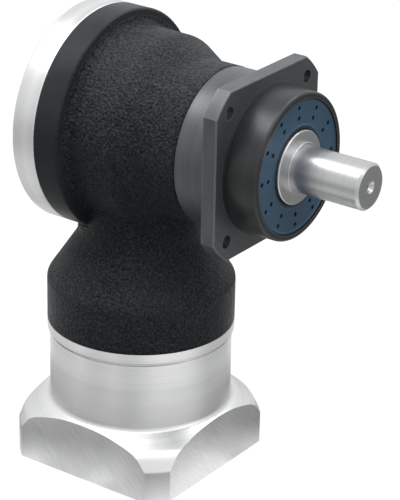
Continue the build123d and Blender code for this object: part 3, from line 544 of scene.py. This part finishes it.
# %% Material: blue rubber
blue_rubber, tree, shader, point = new_material("blue_rubber", Metallic=0.0, IOR=1.5)
marks = use_group(tree, handling, Point=point)
skin = use_group(tree, cast_skin, Point=point, Grain=0.00035)
turned = use_group(tree, turned_place, Point=point, Along_Output_Axis=1.0)
lip_start, lip_end = 0.0170, 0.0162
below_face = step_between(tree, turned["Along"], seal_front - 0.00042, seal_front - 0.00065)
near_rim = step_between(tree, turned["Radius"], seal_radius - 0.0013, seal_radius - 0.0007)
near_lip = step_between(tree, turned["Radius"], lip_start, lip_end)
edge_share = 0.7
dimple_shade_and_dark_rim = larger(tree, below_face, times(tree, larger(tree, near_rim, near_lip), edge_share))
base = mixed(tree, "RGBA", skin["Patches"], (0.040, 0.112, 0.190), (0.052, 0.134, 0.226))
base = tinted(tree, base, marks["Clouds"], share=0.18, colour=(0.10, 0.17, 0.24))
# Painted shade in the dimples, and a darker rim and lip, all near black.
base = mixed(tree, "RGBA", dimple_shade_and_dark_rim, base, (0.006, 0.014, 0.026))
finish_with(tree, shader, base, roughness=0.42, films=[(marks["Clouds"], 0.15)])
bump_into(tree, shader, skin["Height"], depth=0.00003)
print("material", blue_rubber.name)

# %% [markdown]
# ## The other metals
# The pieces inside, and those seen only through the motor opening, are as finished as the
# outside. One function covers every plain metal: its darkest and lightest colour, its
# roughness, the pitch of its tool marks, how much its edges are lightened, partly as rubbed
# metal and partly as a painted highlight, and the axis it was turned on. Screws and retaining
# rings are blackened, so they are darker and their edges are lightened less.

# %% Materials: other metals
def worked_metal(title, dark, light, roughness, on_output_axis=1.0, pitch=0.0003, metallic=1.0, edge_rub_and_glint=0.4):
    material, tree, shader, point = new_material(title, Metallic=metallic)
    turned = use_group(tree, turned_place, Point=point, Along_Output_Axis=on_output_axis)
    rings = tool_marks_on(tree, turned, pitch)
    marks = use_group(tree, handling, Point=point)
    edges = use_group(tree, rubbed_and_lit_edges, Reach=0.0004)
    rubbed_and_glinting = tuple(0.4 * part + 0.5 for part in light)
    base = mixed(tree, "RGBA", rings["Shade"], dark, light)
    # The edges are lightened: partly rubbed metal, partly a painted highlight.
    base = tinted(tree, base, edges["Mask"], share=edge_rub_and_glint, colour=rubbed_and_glinting)
    finish_with(tree, shader, base, roughness, films=[(marks["Clouds"], 0.05), (marks["Scratches"], 0.12)])
    bump_into(tree, shader, rings["Height"], depth=0.000008)
    return material


recipes = {
    "shaft_steel": dict(dark=(0.46, 0.465, 0.47), light=(0.52, 0.525, 0.53), roughness=0.30, pitch=0.00022),
    "gear_steel": dict(dark=(0.36, 0.36, 0.37), light=(0.50, 0.50, 0.51), roughness=0.28),
    "pinion_steel": dict(
        dark=(0.36, 0.36, 0.37), light=(0.50, 0.50, 0.51), roughness=0.28, on_output_axis=0.0),
    "bronze": dict(dark=(0.50, 0.30, 0.11), light=(0.62, 0.40, 0.17), roughness=0.30),
    "hub_steel": dict(
        dark=(0.42, 0.42, 0.43), light=(0.56, 0.56, 0.57), roughness=0.30, on_output_axis=0.0),
    "screw_steel": dict(
        dark=(0.035, 0.036, 0.040), light=(0.060, 0.061, 0.066), roughness=0.38, metallic=0.8, edge_rub_and_glint=0.25),
    "spring_steel": dict(dark=(0.09, 0.09, 0.10), light=(0.15, 0.15, 0.16), roughness=0.36, edge_rub_and_glint=0.3),
    "bearing_steel": dict(dark=(0.66, 0.66, 0.67), light=(0.78, 0.78, 0.79), roughness=0.16, pitch=0.0002),
}
metals = {title: worked_metal(title, **recipe) for title, recipe in recipes.items()}
print("metals", len(metals))

# %% [markdown]
# ## Black rubber and plastic
# The inner seals are black rubber and the access plug is black plastic. Both are moulded, so
# both take the cast skin at a finer grain, under a cloudy film of grey dust. Rubber is the
# duller of the two.

# %% Materials: rubber and plastic
def moulded(title, dark, light, roughness, grain):
    material, tree, shader, point = new_material(title, Metallic=0.0)
    skin = use_group(tree, cast_skin, Point=point, Grain=grain)
    marks = use_group(tree, handling, Point=point)
    base = mixed(tree, "RGBA", skin["Patches"], dark, light)
    base = tinted(tree, base, marks["Clouds"], share=0.25, colour=(0.075, 0.075, 0.075))
    finish_with(tree, shader, base, roughness, films=[(marks["Clouds"], 0.15)])
    bump_into(tree, shader, skin["Height"], depth=0.00003)
    return material


black_rubber = moulded(
    "black_rubber", dark=(0.014, 0.014, 0.014), light=(0.022, 0.022, 0.022), roughness=0.6, grain=0.0004)
black_plastic = moulded(
    "black_plastic", dark=(0.018, 0.018, 0.019), light=(0.028, 0.028, 0.029), roughness=0.45, grain=0.0005)
print("materials", black_rubber.name, black_plastic.name)

# %% [markdown]
# ## Dressing the CAD nodes
# The record says for each CAD node which finish it has, so one loop dresses them all. Two
# pieces were turned about the upright axis, and the record has the same finish for pieces
# turned about the other one, so these two are picked by their own names.

# %% Assign materials
finishes = {
    "black_casting": black_casting, "turned_aluminium": cover_aluminium, "grey_steel": grey_steel,
    "blue_rubber": blue_rubber, "black_rubber": black_rubber, "black_plastic": black_plastic, **metals,
}
upright = {"motor_adapter": adapter_aluminium, "pinion_shaft": metals["pinion_steel"]}
for name, thing in nodes.items():
    material = upright.get(name, finishes[slot_of[name]])
    thing.data.materials.clear()
    thing.data.materials.append(material)
print("dressed", len(nodes), "nodes")

# %% [markdown]
# ## The studio's world
# The picture is a cut-out on white. A room bright enough for that would wash out the black
# casting. So the world gives only a little light, and the Light Path node makes it white
# where the camera, a reflection or a clear material looks at it.

# %% World
world = bpy.data.worlds.new("studio_world")
bpy.context.scene.world = world
world.use_nodes = True
tree = world.node_tree
world_light = 0.10
paths = node(tree, "ShaderNodeLightPath").outputs
in_or_through = larger(tree, paths["Is Glossy Ray"], paths["Is Transmission Ray"])
seen = larger(tree, paths["Is Camera Ray"], in_or_through)
background = tree.nodes["Background"]
background.inputs["Color"].default_value = (1, 1, 1, 1)
strength = plus(tree, world_light, times(tree, seen, 1.0 - world_light))
tree.links.new(strength, background.inputs["Strength"])
print("world light", world_light)

# %% [markdown]
# ## The floor, as the bright metal sees it
# Bright metal shows its surroundings, and all white ones would leave it flat. In a studio,
# dark and pale cards stand around such a piece. Here the floor plays them, for reflections
# alone: it is dark in a ring round the foot, less bright far away and behind, and has soft
# pale cards at some angles. Its distances are counted in half widths of the adapter's foot.

# %% Floor material: reflections
floor_material = bpy.data.materials.new("studio_floor")
floor_material.use_nodes = True
tree = floor_material.node_tree
shader = tree.nodes["Principled BSDF"].inputs
place = node(tree, "ShaderNodeTexCoord").outputs["Object"]
away = node(tree, "ShaderNodeVectorMath", {"operation": "LENGTH"}, Vector=place).outputs["Value"]
direction = node(tree, "ShaderNodeVectorMath", {"operation": "NORMALIZE"}, Vector=place).outputs[0]
paths = node(tree, "ShaderNodeLightPath").outputs


def floor_step(value, start, end):
    """A smooth 0 to 1 between two distances, in half widths of the foot."""
    return step_between(tree, value, start * half_foot, end * half_foot)


ring_start, ring_end = 1.2, 2.8
plain_glow, ring_loss, card_share = 1.06, 0.92, 0.38
ring = less(tree, 1.0, floor_step(away, start=2.25, end=ring_end))
ring = times(tree, floor_step(away, start=ring_start, end=1.85), ring)
cards = step_between(tree, noise(tree, direction, Scale=1.7, Detail=0.0), start=0.38, end=0.60)
distant = floor_step(away, start=5, end=9)
backward = axes_of(tree, place)["Y"]
behind = times(tree, floor_step(backward, start=-0.5, end=2), floor_step(away, start=3, end=5))
in_metal = less(tree, plain_glow, times(tree, ring, ring_loss))
in_metal = times(tree, in_metal, plus(tree, 1.0 - card_share, times(tree, cards, card_share)))
in_metal = dimmed(tree, in_metal, distant, share=0.45)
in_metal = dimmed(tree, in_metal, behind, share=0.60)
in_metal = times(tree, in_metal, paths["Is Glossy Ray"])
print("dark ring from", round(ring_start * half_foot, 3), "to", round(ring_end * half_foot, 3), "m")

# %% [markdown]
# ## The floor itself
# To the camera the floor is white, and it keeps the gearbox's soft shadow. Its own colour is
# a middle grey that sends little light up under the casting. A glow that lights nothing, and
# that the camera sees, makes up the rest. From below, the floor would hide the gearbox, so
# its back is clear.

# %% Floor
floor_radius = 6.0
floor_gap = 0.0002
camera_glow = 0.88
shader["Base Color"].default_value = (0.18, 0.18, 0.18, 1)
shader["Roughness"].default_value = 0.9
shader["Emission Color"].default_value = (1, 1, 1, 1)
seen = times(tree, larger(tree, paths["Is Camera Ray"], paths["Is Transmission Ray"]), camera_glow)
tree.links.new(plus(tree, seen, in_metal), shader["Emission Strength"])
from_below = node(tree, "ShaderNodeNewGeometry").outputs["Backfacing"]
tree.links.new(less(tree, 1.0, from_below), shader["Alpha"])
bpy.ops.mesh.primitive_circle_add(
    vertices=128, radius=floor_radius, fill_type="NGON", location=(0, 0, -floor_gap))
floor = bpy.context.object
floor.name = "studio_floor"
floor.data.materials.append(floor_material)
print("floor radius", floor_radius, "m")

# %% [markdown]
# ## Lights
# A small lamp draws hard shadows and hot spots, and a large one gives soft light, because
# each point of the object sees much of it. A wide box hangs above and a little in front. A
# smaller one above and behind lights the tops of the barrel and the flange, and one at the
# upper left lights the casting's side. An upright strip at the right draws the bright lines
# along the shaft and the spigot.

# %% Lights
middle = Vector((0.02, 0, 0.11))


def soft_box(name, place, width, height, power):
    """A rectangular area lamp that faces the middle of the gearbox."""
    lamp = bpy.data.lights.new(name, "AREA")
    lamp.shape = "RECTANGLE"
    lamp.size, lamp.size_y = width, height
    lamp.energy = power
    box = bpy.data.objects.new(name, lamp)
    box.location = place
    box.rotation_mode = "QUATERNION"
    box.rotation_quaternion = (middle - Vector(place)).to_track_quat("-Z", "Y")
    bpy.context.scene.collection.objects.link(box)


soft_box("top_box", place=(0.15, -0.20, 1.05), width=1.1, height=0.8, power=5.2)
soft_box("back_box", place=(0.06, 0.56, 0.98), width=0.42, height=0.26, power=2.6)
soft_box("left_box", place=(-0.45, -0.24, 0.98), width=0.42, height=0.42, power=3.0)
soft_box("right_strip", place=(1.0, 0.15, 0.6), width=0.35, height=1.0, power=1.6)
print("lamps", len(bpy.data.lights))
